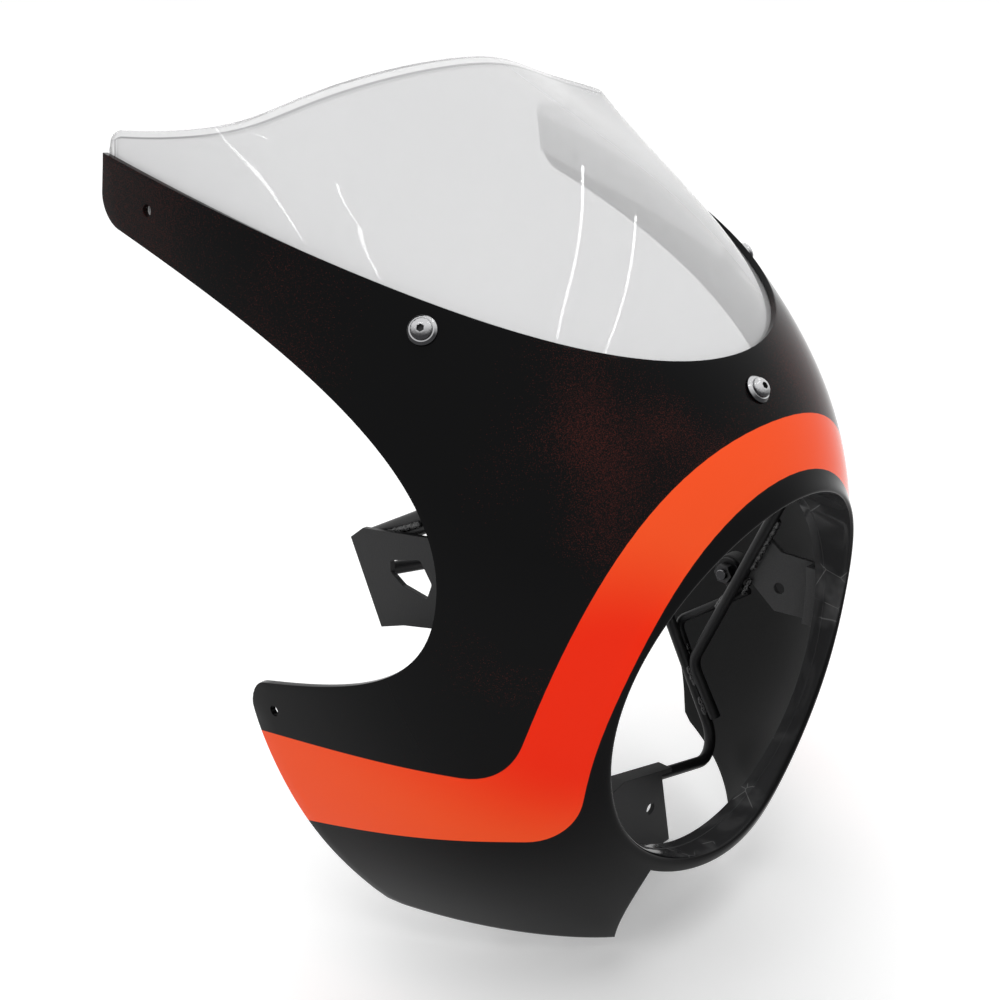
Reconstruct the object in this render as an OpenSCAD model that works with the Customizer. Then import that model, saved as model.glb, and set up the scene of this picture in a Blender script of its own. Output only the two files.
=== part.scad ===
// Headlight cowl: a moulded shell round a headlight, with a clear screen and a welded steel frame.
// The origin is the centre of the headlight opening, on its rear rim.
// The headlight faces -Y, +Z is up, and the cowl is symmetric across X.

/* [Headlight opening] */
// Inner radius of the opening
opening_r = 92; // [85:0.5:98]
// Wall thickness of the shell and its flange
shell_wall = 3; // [2.4:0.1:3.6]
// Width of the rolled lip, measured outwards from the opening
lip_width = 10.2; // [9:0.1:12]
// How much narrower the lip is at the opening's bottom
lip_thinning = 4; // [0:0.5:5]
// How far forward the lip stands at the sides
lip_side_depth = 14.6; // [13:0.1:17]
// Extra forward reach of the lip at its top and bottom
lip_saddle = 10.9; // [8:0.1:13]
// Forward lean of the lip from bottom to top
lip_lean = 13.6; // [10:0.1:15]
// Angle below level at which the skin ends on each side of the opening's bottom
chin_gap_angle = 55.5; // [50:0.5:60]
// Outward bow of the skin's edge beside the chin gap, as a sweep angle
chin_notch_bow = 3; // [0:0.5:4]

/* [Skin] */
// Half width that the skin tends to at the foot of the chin
width_chin = 164; // [156:1:172]
// Half width that the skin tends to at the height of the axis
width_axis = 156; // [150:1:164]
// Half width that the skin tends to above the opening
width_brow = 163; // [156:1:170]
// Half width that the skin tends to at the arm tips
width_tip = 156; // [150:1:162]
// Length over which the sides sweep back at the foot of the chin
sweep_chin = 160; // [140:2:180]
// Length over which the sides sweep back just below the axis
sweep_axis = 48; // [42:1:56]
// Length over which the sides sweep back above the opening
sweep_brow = 77; // [68:1:86]
// Length over which the sides sweep back at the screen's foot
sweep_screen = 85; // [78:1:92]
// Length over which the sides sweep back at the arm tips
sweep_tip = 38; // [34:1:44]
// Nose line, place along Y at the foot of the chin
nose_chin = -1; // [-5:0.5:3]
// Nose line between chin and axis
nose_low = -24.5; // [-27:0.5:-22]
// Nose line at the height of the axis
nose_axis = -37.5; // [-40:0.5:-35]
// Nose line at two thirds of the opening's radius
nose_mid = -42; // [-44:0.5:-40]
// Nose line just above the opening
nose_brow = -31; // [-33:0.5:-29]
// Nose line at the screen's foot
nose_screen = 0; // [-2:0.5:2]
// Nose line at the height of the arm tips
nose_tip = 108; // [102:1:114]

/* [Side outline] */
// Height of the screen's cut-out where it crosses Y zero
cut_height = 153; // [150:0.5:156]
// Rise of the cut-out for each millimetre rearwards
cut_rise = 0.38; // [0.35:0.01:0.41]
// Downward bend of the cut-out line
cut_bend = 0.00025; // [0.0001:0.00005:0.0004]
// Rearmost point of the arms
arm_reach = 246; // [238:1:254]
// Height of the arm's underside at its tip
arm_foot = 197; // [193:1:201]
// Radius of the arm tip's lower corner
arm_corner_r = 13; // [8:1:16]
// Front of the handlebar cut-out
notch_front = 48; // [42:1:54]
// Height of the handlebar cut-out's front point
notch_height = 62; // [56:1:68]
// Rearmost point of the wings
wing_reach = 159; // [152:1:166]
// Height of the wing's top edge at its tip
wing_top = -9; // [-14:1:-5]
// Radius of the wing tip's upper corner
wing_corner_r = 10; // [6:1:12]
// Rear end of the chin's lower edge
heel_y = 99; // [94:1:104]
// Height of the chin's lower edge at its rear end
heel_z = -118; // [-121:1:-115]
// Place along Y of the chin's front corner
toe_y = 14; // [11:1:17]
// Height of the chin's front corner, the lowest point of the cowl
toe_z = -139; // [-141:0.5:-136]

/* [Screen] */
// Thickness of the clear screen
screen_wall = 3; // [2:0.5:4]
// Clearance between the shell's inside and the screen
screen_gap = 0.2; // [0.1:0.05:0.4]
// Depth of the screen's edge behind the shell, below the cut-out
screen_tuck = 22; // [19:1:24]
// Height of the screen above the cut-out on the centre line
screen_rise = 121; // [111:1:131]
// Corner radius of the screen above the arm tips
screen_corner_r = 9; // [7:0.5:10]
// Backward bend of the screen with height
screen_bend = 0.0035; // [0.0025:0.0005:0.0045]
// Inward lean of the screen's sides with height
screen_lean = 0.0026; // [0:0.0002:0.004]

/* [Fixings] */
// Hole diameter for the screen's screws
screw_hole = 6; // [5.4:0.1:6.4]
// Shank diameter of the screws
screw_d = 5; // [4.6:0.1:5.2]
// Diameter of the screw heads
head_d = 9.5; // [9:0.5:10.5]
// Height of the screw heads
head_h = 2.8; // [2.4:0.1:3.2]
// Hexagon size of the heads, across flats
socket_af = 3; // [2.5:0.5:4]
// Outer diameter of the cup washers
washer_d = 13; // [12:0.5:14]
// Height of the cup washers
washer_h = 1.8; // [1.4:0.1:2.2]
// Diameter of the rubber nuts behind the screen
nut_d = 10; // [9:0.5:11]
// Length of the rubber nuts
nut_length = 12; // [10:1:15]
// Distance of the screws below the cut-out
screw_drop = 14; // [12:0.5:15]
// Sweep angle of the side screws from the centre line
screw_angle = 45.5; // [43:0.5:48]
// Diameter of the empty fixing holes in the arms and wings
tip_hole = 5.5; // [4.5:0.5:6.5]
// Distance of the arm's fixing hole from its tip
arm_hole_inset = 32; // [28:1:36]
// Height of the arm's fixing hole below the cut-out
arm_hole_drop = 15; // [13:0.5:17]
// Distance of the wing's fixing hole from its tip
wing_hole_inset = 17; // [14:1:20]
// Height of the wing's fixing hole below the wing's top edge
wing_hole_drop = 10; // [8:1:12]

/* [Frame] */
// Diameter of the bent side rods and the two cross bars
rod_d = 6.5; // [5.5:0.5:8]
// Diameter of the braces
brace_d = 5; // [4:0.5:6]
// Thickness of the steel plates
plate_t = 2.5; // [2:0.5:3]
// Inner faces of the side plates, from the middle
plate_x = 101; // [100:0.5:103]
// Gap left for the weld between rods and plates
weld_gap = 0.1; // [0.05:0.05:0.2]
// Bend radius of the rods
bend_r = 14; // [11:1:16]
// Diameter of the bolt holes in the plates
bolt_hole = 6.5; // [6:0.5:7]

/* [Hidden] */

black = [0.07, 0.07, 0.075];
steel_black = [0.12, 0.12, 0.125];
rubber_black = [0.05, 0.05, 0.05];
stainless = [0.75, 0.76, 0.78];
clear = [0.85, 0.88, 0.9, 0.4];
round_fn = 48;
left = -1;
right = 1;

// Heights at which the skin's sizes hold
nose_z = [-140, -70, 0, 60, 110, 155, 235];
nose_y = [nose_chin, nose_low, nose_axis, nose_mid, nose_brow, nose_screen, nose_tip];
width_z = [-140, 0, 110, 230];
width_x = [width_chin, width_axis, width_brow, width_tip];
sweep_z = [-140, -20, 80, 155, 235];
sweep_y = [sweep_chin, sweep_axis, sweep_brow, sweep_screen, sweep_tip];

// One polynomial through all the stations, by divided differences, so that the skin has no creases
function differences(at, val, order = 1) = order == len(at) ? [val[0]] : concat([val[0]],
    differences(at, [for (i = [0:len(val) - 2]) (val[i + 1] - val[i]) / (at[i + order] - at[i])], order + 1));
function through(at, c, z, k = 0) = k == len(at) - 1 ? c[k] : c[k] + (z - at[k]) * through(at, c, z, k + 1);
nose_c = differences(nose_z, nose_y);
width_c = differences(width_z, width_x);
sweep_c = differences(sweep_z, sweep_y);
function nose(z) = through(nose_z, nose_c, z);
function width(z) = through(width_z, width_c, z);
function sweep(z) = through(sweep_z, sweep_c, z);

function unit(v) = v / norm(v);
function mix(a, b, t) = a + (b - a) * t;
function bezier(p, t) =
    pow(1 - t, 3) * p[0] + 3 * t * pow(1 - t, 2) * p[1] + 3 * t * t * (1 - t) * p[2] + pow(t, 3) * p[3];

// The outer skin: a is the sweep angle, zero on the centre line, and z the height
function skin(a, z) = [width(z) * sin(a), nose(z) - 2 * sweep(z) * ln(cos(a)), z];
function skin_normal(a, z) =
    unit(cross(skin(a + 0.3, z) - skin(a - 0.3, z), skin(a, z + 0.5) - skin(a, z - 0.5)));
// The sweep angle where the skin reaches a place along Y, or a distance from the middle
function angle_at(y, z) = acos(exp(-max(0, y - nose(z)) / (2 * sweep(z))));
function angle_of(x, z) = asin(x / width(z));

// Height of the cut-out line, and the same for a sweep angle by repeated approach
function cut_z(y) = cut_height + cut_rise * y - cut_bend * y * y;
function cut_at(a, z = 170, steps = 10) = steps == 0 ? z : cut_at(a, cut_z(skin(a, z)[1]), steps - 1);

// Side outline from the middle of the cut-out round to the chin's front corner, as [y, z]
cut_n = 24;
tip_n = 5;
under_n = 12;
notch_n = 10;
wing_n = 8;
heel_n = 3;
foot_n = 5;
tip_angle = angle_at(arm_reach - 2, cut_z(arm_reach));
arm_end = [
    [arm_reach - 1, cut_z(arm_reach) - 6],
    for (i = [0:tip_n - 2])
        let (t = i / (tip_n - 2) * 90)
        [arm_reach - arm_corner_r * (1 - cos(t)), arm_foot + arm_corner_r * (1 - sin(t)) + 3 * cos(t)]
];
notch_point = [notch_front, notch_height];
arm_run = [arm_reach - arm_corner_r, arm_foot];
arm_under = [arm_run, arm_run + [-112, -37], notch_point + [0, 55], notch_point];
wing_corner = [wing_reach - wing_corner_r, wing_top + 3];
wing_over = [notch_point, notch_point + [0, -38], wing_corner + [-72, 20], wing_corner];
heel = [heel_y + 1, heel_z + 1];
wing_rear = [[wing_reach - 1, wing_top - wing_corner_r - 2], [wing_reach - 8, wing_top - 40],
    heel + [21, 35], heel + [2, 5]];
heel_end = heel + [-9, -3.5];
toe = [toe_y, toe_z];
foot = [heel_end, heel_end + [-27, -4], toe + [20, 10], toe];

// The outline as [sweep angle, height] on the right-hand side
function on_skin(p) = [angle_at(p[0], p[1]), p[1]];
rim = [
    for (i = [0:cut_n]) let (a = tip_angle * i / cut_n) [a, cut_at(a)],
    for (p = arm_end) on_skin(p),
    for (i = [1:under_n]) on_skin(bezier(arm_under, i / under_n)),
    for (i = [1:notch_n]) on_skin(bezier(wing_over, i / notch_n)),
    on_skin([wing_reach - 3, wing_top - 2]),
    for (i = [0:wing_n]) on_skin(bezier(wing_rear, i / wing_n)),
    for (i = [1:heel_n - 1]) on_skin(mix(heel, heel_end, i / heel_n)),
    for (i = [0:foot_n]) on_skin(bezier(foot, i / foot_n))
];
side_n = len(rim) - 1;
arm_i = cut_n + tip_n;
notch_i = arm_i + under_n;
wing_i = notch_i + notch_n;
heel_i = wing_i + 1 + wing_n;

// Where each rib of the skin leaves the lip, and how far it bows up towards the arm
rib_start = [[0, 90], [cut_n, 51], [arm_i, 47], [mix(arm_i, notch_i, 0.6), 38], [notch_i, 20],
    [wing_i, -10], [heel_i, -42], [side_n, -chin_gap_angle]];
rib_bow = [[0, 0], [cut_n - 8, 0], [arm_i, 16], [arm_i + 5, 14], [notch_i, 0], [side_n, 0]];
chin_bow = [[0, 0], [side_n - 8, 0], [side_n, chin_notch_bow]];
rib_n = 11;
gap_n = 24;
full_n = 2 * side_n + 1;
column_n = full_n + gap_n - 1;

// Columns run from the left chin corner over the top to the right one, then under the opening
function is_full(i) = i < full_n;
function lip_angle(i) = is_full(i)
    ? (i < side_n ? 180 - lookup(side_n - i, rib_start) : lookup(i - side_n, rib_start))
    : mix(-chin_gap_angle, chin_gap_angle - 180, (i - full_n + 1) / gap_n);
function lip_r(t) = opening_r + lip_width - lip_thinning * pow(max(0, -sin(t)), 6);
function lip_at(t, r) = [angle_of(r * cos(t), r * sin(t)), r * sin(t)];
function rib(i, j) =
    let (s = i - side_n, start = lip_at(lip_angle(i), lip_r(lip_angle(i))))
    let (end = [sign(s) * rim[abs(s)][0], rim[abs(s)][1]])
    let (bow = [sign(s) * lookup(abs(s), chin_bow), lookup(abs(s), rib_bow)])
    let (middle = (start + end) / 2 + bow, t = j / rib_n)
    pow(1 - t, 2) * start + 2 * t * (1 - t) * middle + t * t * end;
function outer(q) = skin(q[0], q[1]);
function inner(q) = skin(q[0], q[1]) - shell_wall * skin_normal(q[0], q[1]);

// The lip rolls from the skin into the flange, which ends on the plane Y zero.
// The flange's wall stands back a little, all but its last few millimetres, which are the round land.
lip_n = 6;
lip_in_n = 3;
land = 5;
land_stock = 0.5;
relief = 0.4;
relief_slope = 0.5;
flange_start = 4.6;
lip_roll = 7.3;
lip_bulge = 9.9;
function lip_front(t) = -(lip_side_depth + lip_saddle * pow(sin(t), 2) + lip_lean * sin(t));
function ring_point(t, r, y) = [r * cos(t), y, r * sin(t)];
function flange_front(t) = min(lip_front(t) + flange_start, -land - 0.6);
function lip_turn(t) =
    unit(outer(lip_at(t, lip_r(t))) - outer(lip_at(t, lip_r(t) + 2)));
function lip_outer(t, k) =
    let (start = outer(lip_at(t, lip_r(t))))
    let (end = ring_point(t, opening_r + relief, flange_front(t)))
    bezier([start, start + lip_roll * lip_turn(t), end + [0, -lip_bulge, 0], end], k / lip_n);
function lip_inner(t, k) =
    let (start = inner(lip_at(t, lip_r(t))))
    let (end = ring_point(t, opening_r + shell_wall, flange_front(t)))
    bezier([start, start + lip_roll * 0.45 * lip_turn(t), end + [0, -lip_bulge * 0.5, 0], end], k / lip_in_n);
function lip_column(i) =
    let (t = lip_angle(i))
    [
        lip_outer(t, 0),
        for (k = [0:lip_in_n]) lip_inner(t, k),
        ring_point(t, opening_r + shell_wall, 0),
        ring_point(t, opening_r - land_stock, 0),
        ring_point(t, opening_r - land_stock, land_stock * relief_slope - land),
        ring_point(t, opening_r + relief, -relief * relief_slope - land),
        for (k = [lip_n:-1:1]) lip_outer(t, k)
    ];
lip_rows = lip_in_n + lip_n + 6;

function shell_points() = [
    for (i = [0:column_n - 1]) each lip_column(i),
    for (i = [0:full_n - 1], j = [1:rib_n]) outer(rib(i, j)),
    for (i = [0:full_n - 1], j = [1:rib_n]) inner(rib(i, j))
];
function lip_id(i, k) = (i % column_n) * lip_rows + k % lip_rows;
function outer_id(i, j) = j == 0 ? lip_id(i, 0) : column_n * lip_rows + i * rib_n + j - 1;
function inner_id(i, j) = j == 0 ? lip_id(i, 1) : outer_id(i, j) + full_n * rib_n;
// Each column's closed loop: out along the skin, back on the inside, and round the lip
function full_loop(i) = [
    for (j = [0:rib_n]) outer_id(i, j),
    for (j = [rib_n:-1:0]) inner_id(i, j),
    for (k = [2:lip_rows]) lip_id(i, k)
];
function lip_loop(i) = [for (k = [0:lip_rows]) lip_id(i, k)];
function quad(a, b, c, d) = [[a, b, c], [a, c, d]];
function skirt(from, to) = [
    for (k = [0:len(from) - 2]) each quad(from[k], from[k + 1], to[k + 1], to[k])
];
function shell_faces() = [
    for (i = [0:full_n - 2]) each skirt(full_loop(i), full_loop(i + 1)),
    for (i = [full_n - 1:column_n - 1]) each skirt(lip_loop(i), lip_loop(i + 1)),
    for (j = [0:rib_n - 1]) each quad(outer_id(0, j + 1), outer_id(0, j), inner_id(0, j), inner_id(0, j + 1)),
    for (j = [0:rib_n - 1]) let (i = full_n - 1)
        each quad(outer_id(i, j), outer_id(i, j + 1), inner_id(i, j + 1), inner_id(i, j))
];

// The screen follows the shell's inside below the cut-out and its own line above it
screen_n = 38;
tuck_n = 3;
rise_n = 8;
screen_depth = shell_wall + screen_gap;
screen_fall = 1.44;
screen_end = arm_reach - 2;
screen_tip = angle_at(screen_end, cut_z(screen_end));
function screen_angle(i) = let (u = 2 * i / screen_n - 1) screen_tip * (1.35 * u - 0.35 * u * u * u);
function corner_drop(left_over) = left_over >= screen_corner_r ? 0
    : screen_corner_r - sqrt(max(0, pow(screen_corner_r, 2) - pow(screen_corner_r - left_over, 2)));
function screen_top(a, z) =
    screen_rise * pow(cos(a), screen_fall) - corner_drop(max(0, screen_end - skin(a, z)[1]));
// Towards the arm tips a column stands upright in the side view instead of keeping its sweep angle
function path_angle(a, z, h) =
    sign(a) * mix(abs(a), angle_at(skin(a, z)[1], z + h), pow(a / screen_tip, 4));
function screen_path(a, z, h) = skin(path_angle(a, z, h), z + h);
function screen_base(a, h, z) =
    h <= 0 ? screen_path(a, z, h)
        : skin(a, z) + (screen_path(a, z, 1) - screen_path(a, z, -1)) / 2 * h
            + [-screen_lean * sin(a), screen_bend + 1.3 * screen_lean * pow(sin(a), 2), 0] * h * h;
screen_rows = tuck_n + rise_n;
function screen_h(a, z, j) =
    j < tuck_n ? -screen_tuck * (1 - j / tuck_n) : screen_top(a, z) * (j - tuck_n) / rise_n;
// The place and the outward normal of each point of the grid, then the points of both faces
function screen_grid() = [
    for (i = [0:screen_n])
        let (a = screen_angle(i))
        let (z = cut_at(abs(a)), z_before = cut_at(abs(a - 0.3)), z_after = cut_at(abs(a + 0.3)))
        for (j = [0:screen_rows])
            let (h = screen_h(a, z, j))
            let (across = screen_base(a + 0.3, h, z_after) - screen_base(a - 0.3, h, z_before))
            let (upwards = screen_base(a, h + 0.5, z) - screen_base(a, h - 0.5, z))
            [screen_base(a, h, z), unit(cross(across, upwards))]
];
function screen_points() =
    let (grid = screen_grid())
    [for (depth = [screen_depth, screen_depth + screen_wall], g = grid) g[0] - depth * g[1]];
function screen_id(i, j, side) = (side * (screen_n + 1) + i) * (screen_rows + 1) + j;
function screen_loop(i) = [
    for (j = [0:screen_rows]) screen_id(i, j, 0),
    for (j = [screen_rows:-1:0]) screen_id(i, j, 1),
    screen_id(i, 0, 0)
];
function screen_faces() = [
    for (i = [0:screen_n - 1]) each skirt(screen_loop(i), screen_loop(i + 1)),
    for (j = [0:screen_rows - 1])
        each quad(screen_id(0, j + 1, 0), screen_id(0, j, 0), screen_id(0, j, 1), screen_id(0, j + 1, 1)),
    for (j = [0:screen_rows - 1]) let (i = screen_n)
        each quad(screen_id(i, j, 0), screen_id(i, j + 1, 0), screen_id(i, j + 1, 1), screen_id(i, j, 1))
];

// Places of the fixings on the skin, as [sweep angle, height]
function screw_place(side) = [side * screw_angle, cut_at(abs(side) * screw_angle) - screw_drop];
arm_hole_y = arm_reach - arm_hole_inset;
arm_hole = on_skin([arm_hole_y, cut_z(arm_hole_y) - arm_hole_drop]);
wing_hole = on_skin([wing_reach - wing_hole_inset, wing_top - wing_hole_drop]);

// Sets its children on the skin with +Z pointing outwards
module on_surface(place) {
    n = skin_normal(place[0], place[1]);
    translate(outer(place))
        rotate([0, acos(n[2]), atan2(n[1], n[0])])
            children();
}

module drill(place, d) {
    on_surface(place)
        cylinder(h = 40, d = d, center = true, $fn = round_fn);
}

module tip_drills() {
    for (side = [left, right])
        drill([side * arm_hole[0], arm_hole[1]], tip_hole);
}

module screw_drills() {
    for (side = [left, 0, right])
        drill(screw_place(side), screw_hole);
}

module cowl_shell() {
    color(black)
        difference() {
            polyhedron(shell_points(), shell_faces());
            rotate([90, 0, 0])
                cylinder(h = 2 * land + 1, r = opening_r, center = true, $fn = 128);
            screw_drills();
            tip_drills();
            for (side = [left, right])
                drill([side * wing_hole[0], wing_hole[1]], tip_hole);
        }
}

module windscreen() {
    color(clear)
        difference() {
            polyhedron(screen_points(), screen_faces());
            screw_drills();
            tip_drills();
        }
}

// A cup washer, a button head screw in it, and the rubber nut that it pulls up behind the screen
washer_seat = 0.35;
nut_seat = -(shell_wall + screen_gap + screen_wall + 0.4);
module screw(side) {
    color(stainless)
        on_surface(screw_place(side)) {
            difference() {
                rotate_extrude($fn = round_fn)
                    polygon([
                        [0, washer_seat + washer_h], [head_d / 2, washer_seat + washer_h],
                        for (t = [0:15:90]) [head_d / 2 * cos(t), washer_seat + washer_h + 0.4 + (head_h - 0.4) * sin(t)]
                    ]);
                translate([0, 0, washer_seat + washer_h + head_h * 0.35])
                    cylinder(h = head_h, d = socket_af / cos(30), $fn = 6);
            }
            translate([0, 0, nut_seat - nut_length - 1])
                cylinder(h = washer_seat + washer_h - nut_seat + nut_length + 1, d = screw_d, $fn = round_fn);
        }
}

module cup_washer(side) {
    color(stainless)
        on_surface(screw_place(side))
            rotate_extrude($fn = round_fn)
                polygon([
                    [screw_hole / 2, washer_seat], [washer_d / 2, washer_seat], [washer_d / 2, washer_seat + 0.5],
                    [head_d / 2 + 0.6, washer_seat + washer_h], [screw_hole / 2, washer_seat + washer_h - 0.02]
                ]);
}

module rubber_nut(side) {
    flange_h = 1.6;
    color(rubber_black)
        on_surface(screw_place(side))
            difference() {
                union() {
                    translate([0, 0, nut_seat - flange_h])
                        cylinder(h = flange_h, d = nut_d + 5, $fn = round_fn);
                    translate([0, 0, nut_seat - nut_length])
                        cylinder(h = nut_length - flange_h + 0.01, d = nut_d, $fn = round_fn);
                }
                translate([0, 0, nut_seat - nut_length - 1])
                    cylinder(h = nut_length + 2, d = screw_d + 0.1, $fn = round_fn);
            }
}

// A rod bent round at each inner point of its path, swept as rings of rod_sides points
rod_sides = 12;
bend_steps = 4;
function way(path, i) = unit(path[i + 1] - path[i]);
function bend(path, i, r) =
    let (before = way(path, i - 1), after = way(path, i))
    let (turn = acos(before * after), inward = unit(after - before * (before * after)))
    let (start = path[i] - before * r * tan(turn / 2))
    [
        for (k = [0:bend_steps]) let (t = turn * k / bend_steps)
            [start + inward * r * (1 - cos(t)) + before * r * sin(t), before * cos(t) + inward * sin(t)]
    ];
function stations(path, r) = let (last = len(path) - 1) [
    [path[0], way(path, 0)],
    for (i = [1:1:last - 1]) each bend(path, i, r),
    [path[last], way(path, last - 1)]
];
function across(u, way) = unit(u - (u * way) * way);
function carried(list, u, i = 0) = i == len(list) ? [] :
    let (now = across(u, list[i][1])) concat([now], carried(list, now, i + 1));

module rod(path, d, r) {
    list = stations(path, r);
    sides = carried(list, [0.1, 0.2, 1]);
    n = rod_sides;
    points = [
        for (i = [0:len(list) - 1], k = [0:n - 1])
            let (u = sides[i], v = cross(list[i][1], sides[i]), t = 360 * k / n)
            list[i][0] + (u * cos(t) + v * sin(t)) * d / 2
    ];
    faces = [
        [for (k = [0:n - 1]) k],
        [for (k = [n - 1:-1:0]) (len(list) - 1) * n + k],
        for (i = [0:len(list) - 2], k = [0:n - 1]) let (next = (k + 1) % n)
            each quad(i * n + k, (i + 1) * n + k, (i + 1) * n + next, i * n + next)
    ];
    polyhedron(points, faces);
}

// The frame's rods lie on the inner faces of the side plates
rod_x = plate_x - rod_d / 2 - weld_gap;
strut_x = rod_x + (rod_d + brace_d) / 2 + weld_gap;
hoop_knee = [78.2, -65.1];
hoop_foot = [60, -95];
hoop_top = [15, 75.5];
hoop_shoulder = [51, 101.3];
hoop_tail = [131, 58];
tail_way = unit(hoop_tail - hoop_shoulder);
brace_shift = (rod_d + brace_d) / 2 + weld_gap;
brace_drop = brace_shift * [tail_way[1], -tail_way[0]];
brace_head = 16;

module side_hoop(side) {
    path = [for (p = [hoop_tail, hoop_shoulder, hoop_top, hoop_knee, hoop_foot]) [side * rod_x, p[0], p[1]]];
    color(steel_black)
        rod(path, rod_d, bend_r);
}

module brace(side) {
    ends = [hoop_tail + brace_drop - tail_way * 4, hoop_shoulder + brace_drop + tail_way * brace_head];
    path = [for (p = ends) [side * rod_x, p[0], p[1]]];
    color(steel_black)
        rod(path, brace_d, bend_r);
}

strut_path = [[47.5, -12], [94.5, -46], [83, -68.9]];
module strut(side) {
    path = [for (p = strut_path) [side * strut_x, p[0], p[1]]];
    color(steel_black)
        rod(path, brace_d, 8);
}

// Draws a profile in the side view as a plate that starts at plate_x and grows outwards
module side_plate(side, from = plate_x, t = plate_t) {
    translate([side > 0 ? from : -from - t, 0, 0])
        rotate([90, 0, 90])
            linear_extrude(t)
                children();
}

// The plate behind the flange, with a folded foot that seats on the flange's outside
front_outline = [[37, 24.5], [27, 17.5], [5, 17.5], [5, -15.5], [29, -17.5], [47, -3.5]];
front_hole = [27, -3.5];
seat_r = opening_r + shell_wall + 0.2;
seat_front = -4;
module front_plate(side) {
    web_y = front_outline[2][0];
    seat_top = front_outline[2][1];
    seat_foot = front_outline[3][1];
    color(steel_black) {
        side_plate(side)
            difference() {
                polygon(front_outline);
                translate(front_hole)
                    circle(d = bolt_hole, $fn = round_fn);
            }
        difference() {
            union() {
                intersection() {
                    translate([0, web_y + 0.01, 0])
                        rotate([90, 0, 0])
                            cylinder(h = web_y - seat_front, r = seat_r + plate_t, $fn = 128);
                    translate([side > 0 ? 80 : -110, seat_front - 1, seat_foot])
                        cube([30, web_y - seat_front + 2, seat_top - seat_foot]);
                }
                translate([side > 0 ? 80 : -plate_x - plate_t, web_y, seat_foot])
                    cube([plate_x + plate_t - 80, plate_t, seat_top - seat_foot]);
            }
            translate([0, web_y + plate_t + 1, 0])
                rotate([90, 0, 0])
                    cylinder(h = web_y + plate_t - seat_front + 2, r = seat_r, $fn = 128);
        }
    }
}

rear_outline = [[140, 56], [131, 63], [77, 72], [70, 66], [72, 29], [104, 21], [120, 15]];
window = [[112, 52], [112, 46], [104, 41.5], [88, 39.5], [84.5, 48], [92, 58]];
window_corner_r = 2;
module rear_plate(side) {
    color(steel_black) {
        side_plate(side)
            difference() {
                polygon(rear_outline);
                offset(window_corner_r, $fn = round_fn)
                    offset(delta = -window_corner_r)
                        polygon(window);
            }
        fold = rear_outline[6] - rear_outline[5];
        translate([side * (plate_x + 0.01), rear_outline[5][0], rear_outline[5][1]])
            rotate([atan2(fold[1], fold[0]), 0, 0])
                translate([side > 0 ? -6 : 0, 0, 0])
                    cube([6, norm(fold), plate_t]);
    }
}

// The rear bar joins the rear plates. The lower bar comes down behind the hoops, where the struts'
// ends lie on its outer side, and turns in under the opening.
rear_bar_half = [[plate_x - weld_gap, 119, 44.5], [62, 119, 37.5]];
lower_bar_half = [[rod_x, 100.5, -34.3], [rod_x, 55.5, -118.5], [0, 55.5, -94.6]];
lower_bend_r = 18;
function flip(p) = [-p[0], p[1], p[2]];
function mirrored(half) = [for (p = half) flip(p)];
function reversed(list) = [for (i = [len(list) - 1:-1:0]) list[i]];

module rear_crossbar() {
    color(steel_black)
        rod(concat(mirrored(rear_bar_half), reversed(rear_bar_half)), rod_d, bend_r);
}

module lower_crossbar() {
    outer_half = [for (i = [0:1]) lower_bar_half[i]];
    color(steel_black)
        rod(concat(mirrored(outer_half), [lower_bar_half[2]], reversed(outer_half)), rod_d, lower_bend_r);
}

// The lower plate hangs on both slopes of the crossbar, folded over it along the top
bar_peak = lower_bar_half[2];
bar_slope = atan2(lower_bar_half[1][2] - bar_peak[2], rod_x);
fold_half = 42;
lower_plate_top = 32.5;
lower_plate_wide = 43;
lower_plate_foot = -145.5;
lower_hole_x = 24;
lower_hole_z = -116.5;
module lower_plate() {
    face_y = bar_peak[1] - rod_d / 2 - weld_gap - plate_t;
    drop = tan(bar_slope);
    fold_z = bar_peak[2] + (rod_d / 2 + weld_gap) / cos(bar_slope);
    color(steel_black) {
        translate([0, face_y + plate_t, 0])
            rotate([90, 0, 0])
                linear_extrude(plate_t)
                    difference() {
                        polygon([
                            [0, fold_z + plate_t],
                            [lower_plate_top, fold_z + plate_t + lower_plate_top * drop],
                            [lower_plate_wide, lower_plate_foot],
                            [-lower_plate_wide, lower_plate_foot],
                            [-lower_plate_top, fold_z + plate_t + lower_plate_top * drop]
                        ]);
                        for (side = [left, right])
                            translate([side * lower_hole_x, lower_hole_z])
                                circle(d = bolt_hole, $fn = round_fn);
                    }
        translate([0, face_y + plate_t + rod_d + 2 * weld_gap, 0])
            rotate([90, 0, 0])
                linear_extrude(plate_t + rod_d + 2 * weld_gap)
                    polygon([
                        [0, fold_z + plate_t],
                        [fold_half, fold_z + plate_t + fold_half * drop],
                        [fold_half, fold_z + fold_half * drop],
                        [0, fold_z],
                        [-fold_half, fold_z + fold_half * drop],
                        [-fold_half, fold_z + plate_t + fold_half * drop]
                    ]);
    }
}

// Rubber buffers on lugs, outboard of the struts
buffer_at = [64, -6.5];
lug_x = strut_x + brace_d / 2 + weld_gap;
buffer_d = 18;
buffer_t = 9;
bolt_d = 6;
nut_t = 4.5;
module lug(side) {
    color(steel_black)
        side_plate(side, lug_x)
            difference() {
                union() {
                    translate(buffer_at)
                        circle(d = buffer_d - 2, $fn = round_fn);
                    translate(buffer_at)
                        rotate(-125)
                            translate([0, -5])
                                square([15, 10]);
                }
                translate(buffer_at)
                    circle(d = bolt_d + 0.4, $fn = round_fn);
            }
}

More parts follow.
